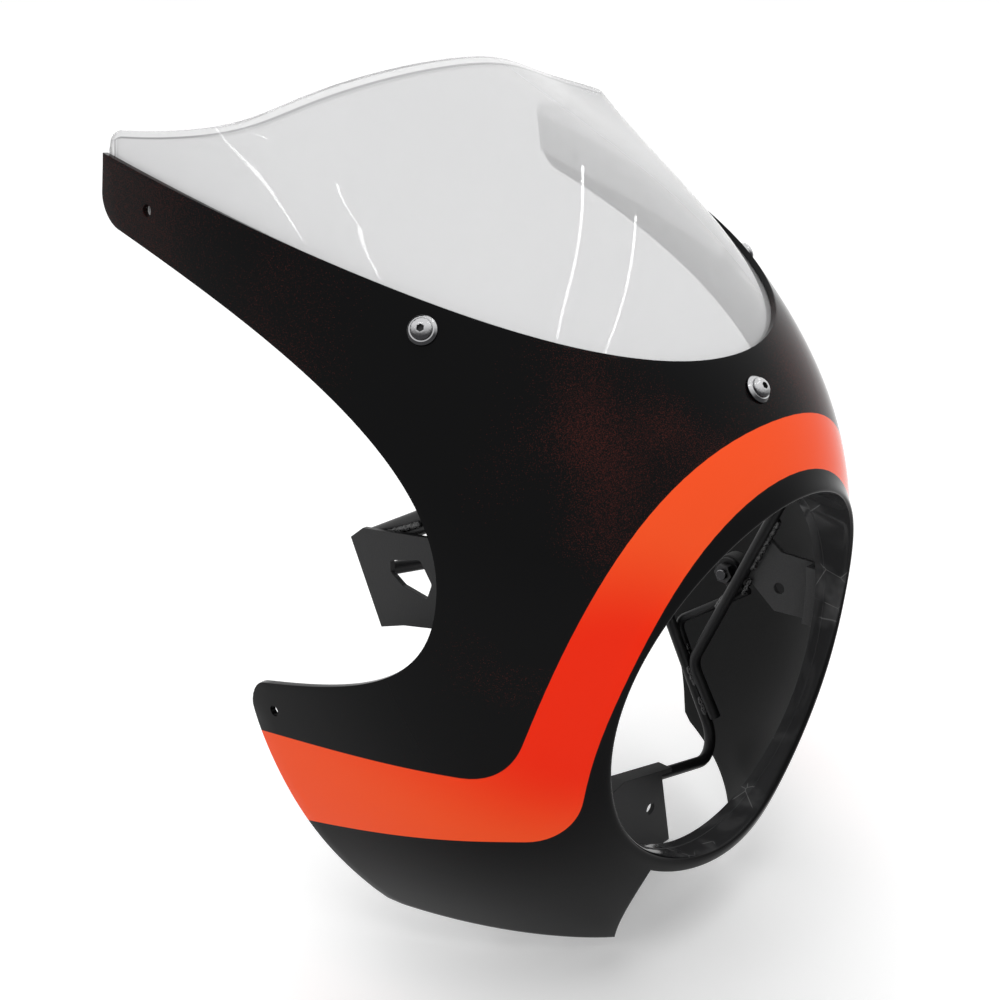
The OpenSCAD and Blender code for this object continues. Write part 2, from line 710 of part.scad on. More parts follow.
module buffer(side) {
    color(rubber_black)
        side_plate(side, lug_x + plate_t + 0.1, buffer_t)
            translate(buffer_at)
                difference() {
                    circle(d = buffer_d, $fn = round_fn);
                    circle(d = bolt_d + 0.4, $fn = round_fn);
                }
}

module buffer_bolt(side) {
    color(stainless) {
        side_plate(side, lug_x - nut_t - 2, nut_t + 2 + plate_t + buffer_t + 0.25)
            translate(buffer_at)
                circle(d = bolt_d, $fn = round_fn);
        side_plate(side, lug_x + plate_t + buffer_t + 0.2, 3)
            translate(buffer_at)
                circle(d = 11, $fn = round_fn);
    }
}

module buffer_nut(side) {
    color(stainless)
        side_plate(side, lug_x - nut_t - 0.1, nut_t)
            translate(buffer_at)
                difference() {
                    circle(d = 10 / cos(30), $fn = 6);
                    circle(d = bolt_d + 0.1, $fn = round_fn);
                }
}

cowl_shell();
windscreen();
screw(left);  // screw_left
screw(0);  // screw_centre
screw(right);  // screw_right
cup_washer(left);  // cup_washer_left
cup_washer(0);  // cup_washer_centre
cup_washer(right);  // cup_washer_right
rubber_nut(left);  // rubber_nut_left
rubber_nut(0);  // rubber_nut_centre
rubber_nut(right);  // rubber_nut_right
side_hoop(left);  // side_hoop_left
side_hoop(right);  // side_hoop_right
brace(left);  // brace_left
brace(right);  // brace_right
strut(left);  // strut_left
strut(right);  // strut_right
front_plate(left);  // front_plate_left
front_plate(right);  // front_plate_right
rear_plate(left);  // rear_plate_left
rear_plate(right);  // rear_plate_right
rear_crossbar();
lower_crossbar();
lower_plate();
lug(left);  // lug_left
lug(right);  // lug_right
buffer(left);  // buffer_left
buffer(right);  // buffer_right
buffer_bolt(left);  // buffer_bolt_left
buffer_bolt(right);  // buffer_bolt_right
buffer_nut(left);  // buffer_nut_left
buffer_nut(right);  // buffer_nut_right
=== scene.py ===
"""Looks of a headlight cowl: a striped moulded shell, a clear screen and a welded steel frame."""

import math

import bpy
import numpy as np
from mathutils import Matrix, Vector


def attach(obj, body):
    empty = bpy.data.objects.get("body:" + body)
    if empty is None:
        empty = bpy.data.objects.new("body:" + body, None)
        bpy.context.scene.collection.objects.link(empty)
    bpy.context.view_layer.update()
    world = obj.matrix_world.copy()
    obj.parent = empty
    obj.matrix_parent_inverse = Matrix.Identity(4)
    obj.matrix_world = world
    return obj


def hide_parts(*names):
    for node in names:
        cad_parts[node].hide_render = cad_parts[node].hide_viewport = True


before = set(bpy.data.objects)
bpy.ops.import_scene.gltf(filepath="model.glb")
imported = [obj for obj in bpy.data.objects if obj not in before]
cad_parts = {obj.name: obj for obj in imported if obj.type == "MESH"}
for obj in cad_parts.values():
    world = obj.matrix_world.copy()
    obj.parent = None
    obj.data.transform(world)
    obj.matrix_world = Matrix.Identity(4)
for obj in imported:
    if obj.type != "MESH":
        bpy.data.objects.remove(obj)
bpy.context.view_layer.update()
MM = 0.001

# Sizes of the cowl in millimetres, as in its construction
OPENING_R = 92
WALL = 3
LIP_WIDTH = 10.2
LIP_THINNING = 4
LIP_SIDE_DEPTH = 14.6
LIP_SADDLE = 10.9
LIP_LEAN = 13.6
LIP_ROLL = 7.3
LIP_BULGE = 9.9
FLANGE_START = 4.6
LAND = 5
RELIEF = 0.4
CHIN_GAP_ANGLE = 55.5
CHIN_NOTCH_BOW = 3
NOSE_Z, NOSE_Y = [-140, -70, 0, 60, 110, 155, 235], [-1, -24.5, -37.5, -42, -31, 0, 108]
WIDTH_Z, WIDTH_X = [-140, 0, 110, 230], [164, 156, 163, 156]
SWEEP_Z, SWEEP_Y = [-140, -20, 80, 155, 235], [160, 48, 77, 85, 38]
CUT_HEIGHT, CUT_RISE, CUT_BEND = 153, 0.38, 0.00025
ARM_REACH, ARM_FOOT, ARM_CORNER_R = 246, 197, 13
NOTCH_FRONT, NOTCH_HEIGHT = 48, 62
WING_REACH, WING_TOP, WING_CORNER_R = 159, -9, 10
HEEL_Y, HEEL_Z = 99, -118
TOE_Y, TOE_Z = 14, -139
FLOOR_Z = -146
SCREEN_WALL, SCREEN_GAP, SCREEN_TUCK = 3, 0.2, 22
SCREEN_RISE, SCREEN_CORNER_R, SCREEN_BEND, SCREEN_LEAN, SCREEN_FALL = 121, 9, 0.0035, 0.0026, 1.44
SCREEN_COLUMNS, SCREEN_ROWS, TUCK_ROWS = 221, 37, 9
SHELL_EDGE, SCREEN_EDGE, EDGE_HIGHLIGHT_BAND = 1.1, 1.2, 2.7
SOCKET_R = 1.75
TIP_HOLE, BORE_DEPTH, BORE_SIDES = 5.5, 24, 40
ARM_HOLE_INSET, ARM_HOLE_DROP = 32, 15
WING_HOLE_INSET, WING_HOLE_DROP = 17, 10
ROD_D, BRACE_D, WELD_GAP = 6.5, 5, 0.1
BEND_R, LOWER_BEND_R, STRUT_BEND_R = 14, 18, 8
BRACE_FOOT, BRACE_HEAD = 4, 16
PLATE_X = 101
ROD_X = PLATE_X - ROD_D / 2 - WELD_GAP
STRUT_X = ROD_X + (ROD_D + BRACE_D) / 2 + WELD_GAP
HOOP = [(131, 58), (51, 101.3), (15, 75.5), (78.2, -65.1), (60, -95)]
STRUT = [(47.5, -12), (94.5, -46), (83, -68.9)]
REAR_BAR = [(PLATE_X - WELD_GAP, 119, 44.5), (62, 119, 37.5)]
LOWER_BAR = [(ROD_X, 100.5, -34.3), (ROD_X, 55.5, -118.5), (0, 55.5, -94.6)]
SIDES = {"left": -1, "right": 1}


# The skin's lines, each one polynomial through its stations

def polynomial(at, values):
    return np.poly1d(np.polyfit(np.array(at) / 100, values, len(at) - 1))


nose_line = polynomial(NOSE_Z, NOSE_Y)
width_line = polynomial(WIDTH_Z, WIDTH_X)
sweep_line = polynomial(SWEEP_Z, SWEEP_Y)


def nose(z):
    return nose_line(np.asarray(z) / 100)


def width(z):
    return width_line(np.asarray(z) / 100)


def sweep(z):
    return sweep_line(np.asarray(z) / 100)


def skin(a, z):
    """The outer skin's point at a sweep angle in degrees and a height."""
    a = np.radians(a)
    return np.stack([width(z) * np.sin(a), nose(z) - 2 * sweep(z) * np.log(np.cos(a)), z + 0 * a], -1)


def unit(v):
    v = np.asarray(v, float)
    return v / np.linalg.norm(v, axis=-1, keepdims=True)


def skin_normal(a, z):
    return unit(np.cross(skin(a + 0.3, z) - skin(a - 0.3, z), skin(a, z + 0.5) - skin(a, z - 0.5)))


def angle_at(y, z):
    return np.degrees(np.arccos(np.exp(-np.maximum(0, y - nose(z)) / (2 * sweep(z)))))


def angle_of(x, z):
    return np.degrees(np.arcsin(np.clip(x / width(z), -0.999, 0.999)))


def cut_z(y):
    return CUT_HEIGHT + CUT_RISE * y - CUT_BEND * y * y


def cut_at(a):
    z = 170 + 0 * np.asarray(a, float)
    for _ in range(10):
        z = cut_z(skin(a, z)[..., 1])
    return z


def bezier(p, t):
    p = np.asarray(p, float)
    t = np.asarray(t, float)[..., None]
    return (1 - t) ** 3 * p[0] + 3 * t * (1 - t) ** 2 * p[1] + 3 * t * t * (1 - t) * p[2] + t ** 3 * p[3]


def polar(t, r, y):
    return np.stack([r * np.cos(t), y + 0 * t, r * np.sin(t)], -1)


# The side outline, from the middle of the cut-out round to the chin's front corner

CUT_N, TIP_N, UNDER_N, NOTCH_N, WING_N, HEEL_N, FOOT_N = 80, 12, 40, 34, 26, 4, 24
TIP_ANGLE = float(angle_at(ARM_REACH - 2, cut_z(ARM_REACH)))


def side_outline():
    """Points of the shell's edge as rows of sweep angle and height."""
    turn = np.radians(np.linspace(0, 90, TIP_N - 1))
    arm_end = [(ARM_REACH - 1, cut_z(ARM_REACH) - 6)] + [
        (ARM_REACH - ARM_CORNER_R * (1 - math.cos(t)),
         ARM_FOOT + ARM_CORNER_R * (1 - math.sin(t)) + 3 * math.cos(t)) for t in turn]
    notch = np.array([NOTCH_FRONT, NOTCH_HEIGHT])
    arm_run = np.array([ARM_REACH - ARM_CORNER_R, ARM_FOOT])
    arm_under = [arm_run, arm_run + [-112, -37], notch + [0, 55], notch]
    corner = np.array([WING_REACH - WING_CORNER_R, WING_TOP + 3])
    wing_over = [notch, notch + [0, -38], corner + [-72, 20], corner]
    heel = np.array([HEEL_Y + 1, HEEL_Z + 1])
    wing_rear = [(WING_REACH - 1, WING_TOP - WING_CORNER_R - 2), (WING_REACH - 8, WING_TOP - 40),
                 heel + [21, 35], heel + [2, 5]]
    heel_end, toe = heel + [-9, -3.5], np.array([TOE_Y, TOE_Z])
    foot = [heel_end, heel_end + [-27, -4], toe + [20, 10], toe]
    wing_tip = [corner, corner + [5, -1.4], np.array(wing_rear[0]) + [0.4, 6], wing_rear[0]]
    side = np.concatenate([
        np.array(arm_end),
        bezier(arm_under, np.linspace(0, 1, UNDER_N + 1)[1:]),
        bezier(wing_over, np.linspace(0, 1, NOTCH_N + 1)[1:]),
        bezier(wing_tip, np.linspace(0, 1, 7)[1:-1]),
        bezier(wing_rear, np.linspace(0, 1, WING_N + 1)),
        heel + (heel_end - heel) * np.linspace(0, 1, HEEL_N + 1)[1:-1, None],
        bezier(foot, np.linspace(0, 1, FOOT_N + 1))])
    cut = TIP_ANGLE * np.linspace(0, 1, CUT_N + 1)
    return np.concatenate([np.stack([cut, cut_at(cut)], -1),
                           np.stack([angle_at(side[:, 0], side[:, 1]), side[:, 1]], -1)])


RIM = side_outline()
SIDE_N = len(RIM) - 1
ARM_I = CUT_N + TIP_N
NOTCH_I = ARM_I + UNDER_N
WING_I = NOTCH_I + NOTCH_N
HEEL_I = WING_I + 6 + WING_N
RIB_N, LIP_N, GAP_N = 36, 12, 70
# How far a rib bows up towards the arm, and how far it bows out beside the chin's gap
RIB_BOW = [0, CUT_N - 24, ARM_I, ARM_I + 15, NOTCH_I, SIDE_N], [0, 0, 16, 14, 0, 0]
CHIN_BOW = [0, SIDE_N - 30, SIDE_N], [0, 0, CHIN_NOTCH_BOW]


def rib_start(i):
    """Angle round the opening, in degrees, at which the rib of an outline point leaves the lip."""
    return np.interp(i, [0, CUT_N, ARM_I, ARM_I + 0.6 * UNDER_N, NOTCH_I, WING_I, HEEL_I, SIDE_N],
                     [90, 51, 47, 38, 20, -10, -42, -CHIN_GAP_ANGLE])


def lip_r(t):
    return OPENING_R + LIP_WIDTH - LIP_THINNING * np.maximum(0, -np.sin(t)) ** 6


def lip_skin(t, r):
    """Sweep angle and height of the skin at an angle round the opening and a radius."""
    return angle_of(r * np.cos(t), r * np.sin(t)), r * np.sin(t)


def lip_rows(t):
    """The lip from the flange's rear rim out to the skin, for angles round the opening."""
    front = -(LIP_SIDE_DEPTH + LIP_SADDLE * np.sin(t) ** 2 + LIP_LEAN * np.sin(t)) + FLANGE_START
    front = np.minimum(front, -LAND - 0.6)
    start = skin(*lip_skin(t, lip_r(t)))
    way_in = unit(start - skin(*lip_skin(t, lip_r(t) + 2)))
    end = polar(t, OPENING_R + RELIEF, front)
    rolled = [start, start + LIP_ROLL * way_in, end - [0, LIP_BULGE, 0], end]
    flange = [polar(t, OPENING_R, 0 * t), polar(t, OPENING_R, 0 * t - LAND * 0.5),
              polar(t, OPENING_R, 0 * t - LAND + 0.1), polar(t, OPENING_R + RELIEF, 0 * t - LAND - 0.2)]
    lip = []
    for k in np.linspace(1, 0, LIP_N + 1):
        lip.append((1 - k) ** 3 * rolled[0] + 3 * k * (1 - k) ** 2 * rolled[1]
                   + 3 * k * k * (1 - k) * rolled[2] + k ** 3 * rolled[3])
    return np.array(flange + lip)


def rib_rows(i):
    """The skin's rows from the lip out to the edge, for outline places that run left to right."""
    side, place = np.sign(i), np.abs(i)
    t = np.radians(np.where(i < 0, 180 - rib_start(place), rib_start(place)))
    a0, z0 = lip_skin(t, lip_r(t))
    end = RIM[place.astype(int)]
    a1, z1 = np.where(side < 0, -1, 1) * end[:, 0], end[:, 1]
    bow_z = np.interp(place, *RIB_BOW)
    bow_a = side * np.interp(place, *CHIN_BOW)
    am, zm = (a0 + a1) / 2 + bow_a, (z0 + z1) / 2 + bow_z
    rows = []
    for t in np.linspace(0, 1, RIB_N + 1)[1:]:
        rows.append(skin((1 - t) ** 2 * a0 + 2 * t * (1 - t) * am + t * t * a1,
                         (1 - t) ** 2 * z0 + 2 * t * (1 - t) * zm + t * t * z1))
    return np.array(rows)


# Mesh tools

def only(*pieces):
    """Selects these pieces alone and makes the first one active."""
    bpy.ops.object.select_all(action="DESELECT")
    for piece in pieces:
        piece.select_set(True)
    bpy.context.view_layer.objects.active = pieces[0]


def laid_grid(name, places, mark=None, marks=None):
    """A grid whose rows and columns lie at the given places, in millimetres, with a named mark at each."""
    rows, columns = places.shape[:2]
    bpy.ops.object.select_all(action="DESELECT")
    bpy.ops.mesh.primitive_grid_add(x_subdivisions=columns - 1, y_subdivisions=rows - 1, size=2)
    piece = bpy.context.object
    piece.name = name
    at = np.empty(len(piece.data.vertices) * 3)
    piece.data.vertices.foreach_get("co", at)
    at = at.reshape(-1, 3)
    column = np.rint((at[:, 0] + 1) / 2 * (columns - 1)).astype(int)
    row = np.rint((at[:, 1] + 1) / 2 * (rows - 1)).astype(int)
    piece.data.vertices.foreach_set("co", (places[row, column] * MM).ravel())
    if mark:
        piece.data.attributes.new(mark, "FLOAT", "POINT").data.foreach_set("value", marks[row, column])
    piece.data.update()
    return piece


def joined(pieces, name):
    """Joins pieces to one and merges the points that they share."""
    only(*pieces)
    bpy.ops.object.join()
    piece = bpy.context.object
    piece.name = name
    bpy.ops.object.mode_set(mode="EDIT")
    bpy.ops.mesh.select_all(action="SELECT")
    bpy.ops.mesh.remove_doubles(threshold=0.00001)
    bpy.ops.object.mode_set(mode="OBJECT")
    return piece


def apply_modifier(piece, kind, **settings):
    only(piece)
    modifier = piece.modifiers.new(kind.lower(), kind)
    for key, value in settings.items():
        setattr(modifier, key, value)
    bpy.ops.object.modifier_apply(modifier=modifier.name)


def smooth(piece, angle):
    only(piece)
    bpy.ops.object.shade_smooth_by_angle(angle=math.radians(angle))


def eased(piece, width_mm, segments=2, angle=35):
    """Rounds the sharp edges of a piece."""
    apply_modifier(piece, "BEVEL", width=width_mm * MM, segments=segments, limit_method="ANGLE",
                   angle_limit=math.radians(angle), use_clamp_overlap=True)
    smooth(piece, angle)


def bored(piece, centre, axis, d):
    """Cuts a round hole through a piece."""
    bpy.ops.object.select_all(action="DESELECT")
    turn = Vector(axis).to_track_quat("Z", "Y").to_euler()
    bpy.ops.mesh.primitive_cylinder_add(vertices=BORE_SIDES, radius=d / 2 * MM, depth=BORE_DEPTH * MM,
                                        location=Vector(centre) * MM, rotation=turn)
    drill = bpy.context.object
    apply_modifier(piece, "BOOLEAN", object=drill, operation="DIFFERENCE", solver="EXACT")
    bpy.data.objects.remove(drill)


def on_skin(y, z):
    return float(angle_at(y, z)), float(z)


def painted(piece, *finishes):
    piece.data.materials.clear()
    for finish in finishes:
        piece.data.materials.append(finish)


def placed(piece, slot, *nodes):
    """Fixes a piece to the cowl and hides the solids that it stands for; its slot is not used."""
    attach(piece, "root")
    if nodes:
        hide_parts(*nodes)


# Finishes

def new_finish(name):
    finish = bpy.data.materials.new(name)
    finish.use_nodes = True
    tree = finish.node_tree
    tree.nodes.clear()
    out = tree.nodes.new("ShaderNodeOutputMaterial")
    shader = tree.nodes.new("ShaderNodeBsdfPrincipled")
    tree.links.new(shader.outputs[0], out.inputs["Surface"])
    return finish, tree, shader


def node(tree, kind, **values):
    made = tree.nodes.new(kind)
    for key, value in values.items():
        setattr(made, key, value)
    return made


def give(tree, socket, source):
    """Links an output to a socket, or sets the socket's own value."""
    if hasattr(source, "is_output"):
        tree.links.new(source, socket)
    else:
        socket.default_value = source


def feed(tree, into, **sources):
    """Gives a node's named inputs their sources."""
    for name, source in sources.items():
        give(tree, into.inputs[name.replace("_", " ")], source)


def maths(tree, operation, a, b=0.0, c=0.0):
    made = node(tree, "ShaderNodeMath", operation=operation)
    for socket, source in zip(made.inputs, (a, b, c)):
        give(tree, socket, source)
    return made.outputs[0]


def mixed(tree, factor, a, b):
    """A colour from a, where the factor is 0, to b, where it is 1."""
    made = node(tree, "ShaderNodeMix", data_type="RGBA")
    for index, source in ((0, factor), (6, a), (7, b)):
        give(tree, made.inputs[index], source)
    return made.outputs[2]


def split(tree, vector):
    """The x, y and z of a vector."""
    parts = node(tree, "ShaderNodeSeparateXYZ")
    tree.links.new(vector, parts.inputs[0])
    return parts.outputs["X"], parts.outputs["Y"], parts.outputs["Z"]


def between(tree, value, low, high, to_low=0.0, to_high=1.0):
    """A smooth step of a value from low to high."""
    made = node(tree, "ShaderNodeMapRange", clamp=True, interpolation_type="SMOOTHSTEP")
    tree.links.new(value, made.inputs["Value"])
    for name, number in (("From Min", low), ("From Max", high), ("To Min", to_low), ("To Max", to_high)):
        made.inputs[name].default_value = number
    return made.outputs[0]


def new_effect(name, inputs, outputs):
    """A node group with named inputs and outputs."""
    group = bpy.data.node_groups.new(name, "ShaderNodeTree")
    for label, kind, value in inputs:
        socket = group.interface.new_socket(name=label, in_out="INPUT", socket_type=kind)
        if value is not None:
            socket.default_value = value
    for label, kind in outputs:
        group.interface.new_socket(name=label, in_out="OUTPUT", socket_type=kind)
    return group, group.nodes.new("NodeGroupInput"), group.nodes.new("NodeGroupOutput")


def grain_effect():
    """Fine unevenness of a moulded or painted surface: a bumped normal and a value from 0 to 1."""
    group, given, out = new_effect(
        "surface_grain",
        [("Vector", "NodeSocketVector", None), ("Scale", "NodeSocketFloat", 400.0),
         ("Height", "NodeSocketFloat", 0.00002), ("Normal", "NodeSocketVector", None)],
        [("Normal", "NodeSocketVector"), ("Value", "NodeSocketFloat")])
    noise = node(group, "ShaderNodeTexNoise")
    feed(group, noise, Vector=given.outputs["Vector"], Scale=given.outputs["Scale"], Detail=3.0, Roughness=0.55)
    bump = node(group, "ShaderNodeBump")
    feed(group, bump, Strength=1.0, Distance=given.outputs["Height"], Height=noise.outputs["Fac"])
    group.links.new(bump.outputs["Normal"], out.inputs["Normal"])
    group.links.new(noise.outputs["Fac"], out.inputs["Value"])
    return group


def flake_effect():
    """Specks of metal flake, thick in broad clouds and thin elsewhere."""
    group, given, out = new_effect(
        "metal_flake",
        [("Vector", "NodeSocketVector", None), ("Speck scale", "NodeSocketFloat", 1400.0),
         ("Cloud scale", "NodeSocketFloat", 9.0), ("Amount", "NodeSocketFloat", 0.5)],
        [("Mask", "NodeSocketFloat")])
    specks = node(group, "ShaderNodeTexVoronoi", feature="F1")
    feed(group, specks, Vector=given.outputs["Vector"], Scale=given.outputs["Speck scale"], Randomness=1.0)
    parts = node(group, "ShaderNodeSeparateColor")
    group.links.new(specks.outputs["Color"], parts.inputs[0])
    clouds = node(group, "ShaderNodeTexNoise")
    feed(group, clouds, Vector=given.outputs["Vector"], Scale=given.outputs["Cloud scale"], Detail=2.0)
    cloud = between(group, clouds.outputs["Fac"], 0.38, 0.64)
    share = maths(group, "MULTIPLY", cloud, given.outputs["Amount"])
    chosen = maths(group, "LESS_THAN", parts.outputs[0], share)
    shine = maths(group, "MULTIPLY", chosen, parts.outputs[1])
    group.links.new(shine, out.inputs["Mask"])
    return group


GRAIN = grain_effect()
FLAKE = flake_effect()


def placed_effect(tree, group, **values):
    made = node(tree, "ShaderNodeGroup", node_tree=group)
    place = node(tree, "ShaderNodeTexCoord")
    tree.links.new(place.outputs["Object"], made.inputs["Vector"])
    feed(tree, made, **values)
    return made


# The colours of the skin, and where each lies on it, in metres

BLACK = (0.0025, 0.0025, 0.0028, 1)
ORANGE = (0.98, 0.092, 0.019, 1)
ORANGE_SHADED = (0.95, 0.026, 0.004, 1)
WORN_BLACK = (0.027, 0.027, 0.028, 1)
RUBBED_GREY = (0.08, 0.08, 0.081, 1)
SCRATCH_GREY = (0.13, 0.13, 0.13, 1)
FLAKE_GLINT_RED = (0.062, 0.012, 0.009, 1)
FLANGE_R = (0.0926, 0.0932)
LIP_R = (0.112, 0.122)
CHEEK_X, CHEEK_Z, CHEEK_SHADE_R = 0.098, 0.02, (0.03, 0.08)
BROW_Y, BROW_Z, BROW_BY_STRIPE = (0.05, 0.01), (0.015, 0.06), (-0.085, -0.012)
ARM_Y, ARM_Z, ARM_SHARE = (0.09, 0.15), (0.09, 0.13), 0.3
STRIPE_SOFTNESS = 0.00012


def distance_from(tree, a, b):
    """Distance of a point whose offsets are a and b."""
    return maths(tree, "SQRT", maths(tree, "ADD", maths(tree, "MULTIPLY", a, a), maths(tree, "MULTIPLY", b, b)))


def black_with_flake_glints(tree, stripe, from_axis, y, z):
    """Black with red metal flake, the paint's own, shown only on the brow above the stripe and on the arms as
    painted glints where the light catches it.
    """
    by_stripe = maths(tree, "MULTIPLY", between(tree, stripe, *BROW_BY_STRIPE), between(tree, from_axis, *LIP_R))
    in_front = maths(tree, "MULTIPLY", between(tree, z, *BROW_Z), between(tree, y, *BROW_Y))
    brow = maths(tree, "MULTIPLY", by_stripe, in_front)
    arms = maths(tree, "MULTIPLY", between(tree, y, *ARM_Y), between(tree, z, *ARM_Z, 0.0, ARM_SHARE))
    flake = placed_effect(tree, FLAKE, Speck_scale=4200.0, Amount=maths(tree, "MAXIMUM", brow, arms))
    return mixed(tree, flake.outputs["Mask"], BLACK, FLAKE_GLINT_RED)


def worn_flange(tree, place):
    """The rubbed and lightly scratched inside of the flange, where a headlight's rim has sat."""
    rubs = placed_effect(tree, GRAIN, Scale=32.0, Height=0.0)
    worn = mixed(tree, between(tree, rubs.outputs["Value"], 0.5, 0.72), WORN_BLACK, RUBBED_GREY)
    scratches = node(tree, "ShaderNodeTexVoronoi", feature="DISTANCE_TO_EDGE")
    feed(tree, scratches, Vector=place, Scale=55.0)
    scratch = maths(tree, "MULTIPLY", between(tree, scratches.outputs["Distance"], 0.018, 0.006),
                    between(tree, rubs.outputs["Value"], 0.53, 0.58))
    return mixed(tree, scratch, worn, SCRATCH_GREY)


def shell_skin_finish():
    """Gloss black with an orange stripe, with painted shade: the orange deepens near each cheek."""
    finish, tree, shader = new_finish("striped_shell_skin")
    stripe = node(tree, "ShaderNodeAttribute", attribute_name="stripe_distance").outputs["Fac"]
    place = node(tree, "ShaderNodeTexCoord").outputs["Object"]
    x, y, z = split(tree, place)
    from_axis = distance_from(tree, x, z)
    black = mixed(tree, between(tree, from_axis, *FLANGE_R), worn_flange(tree, place),
                  black_with_flake_glints(tree, stripe, from_axis, y, z))
    # Painted shade: the orange darkens towards each cheek, where the skin turns from the light.
    from_cheek = distance_from(tree, maths(tree, "SUBTRACT", maths(tree, "ABSOLUTE", x), CHEEK_X),
                               maths(tree, "SUBTRACT", z, CHEEK_Z))
    orange = mixed(tree, between(tree, from_cheek, *CHEEK_SHADE_R), ORANGE_SHADED, ORANGE)
    colour = mixed(tree, between(tree, stripe, -STRIPE_SOFTNESS, STRIPE_SOFTNESS), black, orange)
    grain = placed_effect(tree, GRAIN, Scale=900.0, Height=0.000002)
    rough = maths(tree, "MULTIPLY_ADD", grain.outputs["Value"], 0.07, 0.07)
    feed(tree, shader, Base_Color=colour, Roughness=rough, Normal=grain.outputs["Normal"],
         Specular_IOR_Level=0.065)
    return finish


def grained_finish(name, dark, light, scale, height, rough, spread, **plain):
    """A finish whose colour, from dark to light, and roughness, from rough up by its spread, follow its grain."""
    finish, tree, shader = new_finish(name)
    grain = placed_effect(tree, GRAIN, Scale=scale, Height=height)
    feed(tree, shader, Base_Color=mixed(tree, grain.outputs["Value"], (*dark, 1), (*light, 1)),
         Roughness=maths(tree, "MULTIPLY_ADD", grain.outputs["Value"], spread, rough),
         Normal=grain.outputs["Normal"], **plain)
    return finish


def screen_finish(name, tone, clear):
    """Clear plastic with a pale veil, and along its polished edge a painted highlight, a lighter band, with a fine
    grey line of painted shade beyond it.
    """
    finish, tree, shader = new_finish(name)
    veil = placed_effect(tree, GRAIN, Scale=7.0, Height=0.0)
    colour = mixed(tree, veil.outputs["Value"], (tone, tone, tone * 1.004, 1),
                   (tone * 0.97, tone * 0.972, tone * 0.98, 1))
    edge = node(tree, "ShaderNodeAttribute", attribute_name="edge_distance").outputs["Fac"]
    # Painted highlight just inside the edge, and a painted shade line beyond it.
    edge_highlight = between(tree, edge, EDGE_HIGHLIGHT_BAND + 0.2, EDGE_HIGHLIGHT_BAND - 0.2)
    line = maths(tree, "MULTIPLY", between(tree, edge, EDGE_HIGHLIGHT_BAND - 0.2, EDGE_HIGHLIGHT_BAND + 0.3),
                 between(tree, edge, EDGE_HIGHLIGHT_BAND + 1.1, EDGE_HIGHLIGHT_BAND + 0.6))
    colour = mixed(tree, edge_highlight, colour, (0.93, 0.93, 0.935, 1))
    colour = mixed(tree, line, colour, (0.4, 0.4, 0.405, 1))
    feed(tree, shader, Base_Color=colour, Roughness=0.0, IOR=1.49, Transmission_Weight=clear)
    return finish


def weld_paint_finish():
    """Black paint, painted lighter grey where its grain stands high, as glints on the bead's ripples."""
    finish, tree, shader = new_finish("painted_weld")
    grain = placed_effect(tree, GRAIN, Scale=600.0, Height=0.0002)
    colour = mixed(tree, between(tree, grain.outputs["Value"], 0.4, 0.7),
                   (0.006, 0.006, 0.0065, 1), (0.07, 0.07, 0.072, 1))
    feed(tree, shader, Base_Color=colour, Roughness=0.25, Normal=grain.outputs["Normal"])
    return finish


def stainless_with_painted_reflection():
    """Bright steel with a painted reflection: dark where it faces down, standing in for the black skin that it
    would mirror below it.
    """
    finish, tree, shader = new_finish("stainless")
    grain = placed_effect(tree, GRAIN, Scale=2500.0, Height=0.000004)
    rough = maths(tree, "MULTIPLY_ADD", grain.outputs["Value"], 0.12, 0.1)
    bright = mixed(tree, grain.outputs["Value"], (0.52, 0.52, 0.53, 1), (0.68, 0.68, 0.69, 1))
    _, _, upwards = split(tree, node(tree, "ShaderNodeNewGeometry").outputs["Normal"])
    # Painted reflection: the colour goes dark where the surface faces down.
    colour = mixed(tree, between(tree, upwards, 0.05, 0.65), (0.035, 0.035, 0.037, 1), bright)
    feed(tree, shader, Base_Color=colour, Roughness=rough, Normal=grain.outputs["Normal"], Metallic=1.0)
    return finish


def rubber_finish():
    finish, tree, shader = new_finish("rubber")
    grain = placed_effect(tree, GRAIN, Scale=1500.0, Height=0.00005)
    colour = mixed(tree, grain.outputs["Value"], (0.012, 0.012, 0.012, 1), (0.024, 0.024, 0.024, 1))
    feed(tree, shader, Base_Color=colour, Roughness=0.7, Normal=grain.outputs["Normal"])
    return finish


SKIN_FINISH = shell_skin_finish()
INSIDE_FINISH = grained_finish("moulded_shell_inside", (0.0045, 0.0046, 0.0048), (0.009, 0.0093, 0.0096),
                               scale=700.0, height=0.00002, rough=0.28, spread=0.2, Specular_IOR_Level=0.08)
SCREEN_FINISH = screen_finish("clear_screen", tone=0.81, clear=0.6)
# The screen's rim faces, painted grey as the shade line along its edge.
SHADED_EDGE_FINISH = screen_finish("screen_edge_painted_shade", tone=0.55, clear=0.5)
PAINT_FINISH = grained_finish("black_frame_paint", (0.006, 0.006, 0.0065), (0.016, 0.016, 0.017),
                              scale=1300.0, height=0.00006, rough=0.3, spread=0.25, Specular_IOR_Level=0.2)
# A lighter copy of the frame's black paint for the front plates: painted light.
LIT_PLATE_PAINT_FINISH = grained_finish("plate_paint_lit_copy", (0.04, 0.04, 0.041), (0.07, 0.07, 0.071),
                              scale=1300.0, height=0.00006, rough=0.35, spread=0.25, Specular_IOR_Level=0.2)
WELD_FINISH = weld_paint_finish()
STEEL_PAINTED_REFLECTION_FINISH = stainless_with_painted_reflection()
